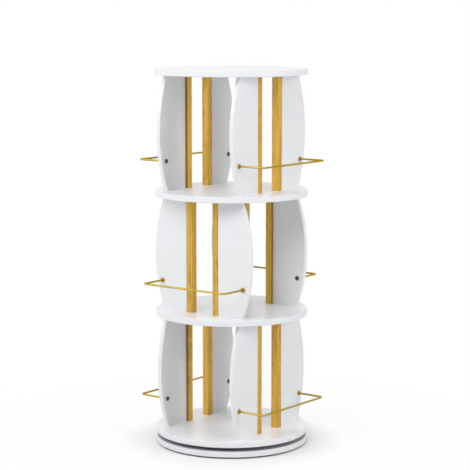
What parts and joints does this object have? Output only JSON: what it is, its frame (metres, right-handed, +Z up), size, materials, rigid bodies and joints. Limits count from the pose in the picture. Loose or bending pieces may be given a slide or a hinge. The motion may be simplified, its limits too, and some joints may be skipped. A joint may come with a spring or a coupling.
{
  "type": "revolving bookcase",
  "caption": "Free-standing round tower of open tiers that turns as one on a low ball-bearing base, with barrel-edged side panels, slim posts and bent wire guard rails.",
  "frame": {"origin": "on the turning axis at floor level, under the anti-slip pads", "axes": "+Z up along the turning axis; +X and -X point out of the railed walls of the lower and upper tiers, +Y and -Y out of those of the middle tier"},
  "size_m": [0.411, 0.411, 0.992],
  "materials": {
    "white_board": "satin white lacquer on fibreboard, rounded edges",
    "post_gold": "gold-stained wood grain, satin",
    "rail_brass": "brushed brass-coloured plate",
    "nut_bronze": "dark antique bronze",
    "ring_aluminium": "turned, satin",
    "screw_steel": "zinc-plated",
    "cage_nylon": "natural nylon",
    "pad_rubber": "matt black",
    "dowel_wood": "plain beech",
    "plug_plastic": "matt white"
  },
  "bodies": {
    "base": {"base_disc": "white_board", "base_pads": "pad_rubber", "outer_ring": "ring_aluminium", "base_screws": "screw_steel"},
    "ball_train": {"ball_cage": "cage_nylon", "balls": "screw_steel"},
    "carousel": {"inner_ring": "ring_aluminium", "turntable_screws": "screw_steel", "bottom_shelf": "white_board", "lower_middle_shelf": "white_board", "upper_middle_shelf": "white_board", "top_shelf": "white_board", "lower_right_front_panel": "white_board", "lower_right_back_panel": "white_board", "lower_left_front_panel": "white_board", "lower_left_back_panel": "white_board", "middle_front_left_panel": "white_board", "middle_front_right_panel": "white_board", "middle_back_left_panel": "white_board", "middle_back_right_panel": "white_board", "upper_right_front_panel": "white_board", "upper_right_back_panel": "white_board", "upper_left_front_panel": "white_board", "upper_left_back_panel": "white_board", "lower_right_front_post": "post_gold", "lower_right_back_post": "post_gold", "lower_left_front_post": "post_gold", "lower_left_back_post": "post_gold", "middle_front_left_post": "post_gold", "middle_front_right_post": "post_gold", "middle_back_left_post": "post_gold", "middle_back_right_post": "post_gold", "upper_right_front_post": "post_gold", "upper_right_back_post": "post_gold", "upper_left_front_post": "post_gold", "upper_left_back_post": "post_gold", "lower_right_rail": "rail_brass", "lower_left_rail": "rail_brass", "middle_front_rail": "rail_brass", "middle_back_rail": "rail_brass", "upper_right_rail": "rail_brass", "upper_left_rail": "rail_brass", "rail_collars": "rail_brass", "rail_nuts": "nut_bronze", "panel_dowels": "dowel_wood", "post_screws": "screw_steel", "cover_plugs": "plug_plastic"}
  },
  "joints": [
    {"name": "carousel_spin", "type": "hinge", "parent": "base", "child": "carousel", "pos_m": [0, 0, 0.024], "axis": [0, 0, 1], "continuous": true},
    {"name": "ball_train_orbit", "type": "hinge", "parent": "base", "child": "ball_train", "pos_m": [0, 0, 0.024], "axis": [0, 0, 1], "continuous": true}
  ],
  "couplings": [
    {"joint": "ball_train_orbit", "follows": "carousel_spin", "ratio": 0.49091}
  ]
}
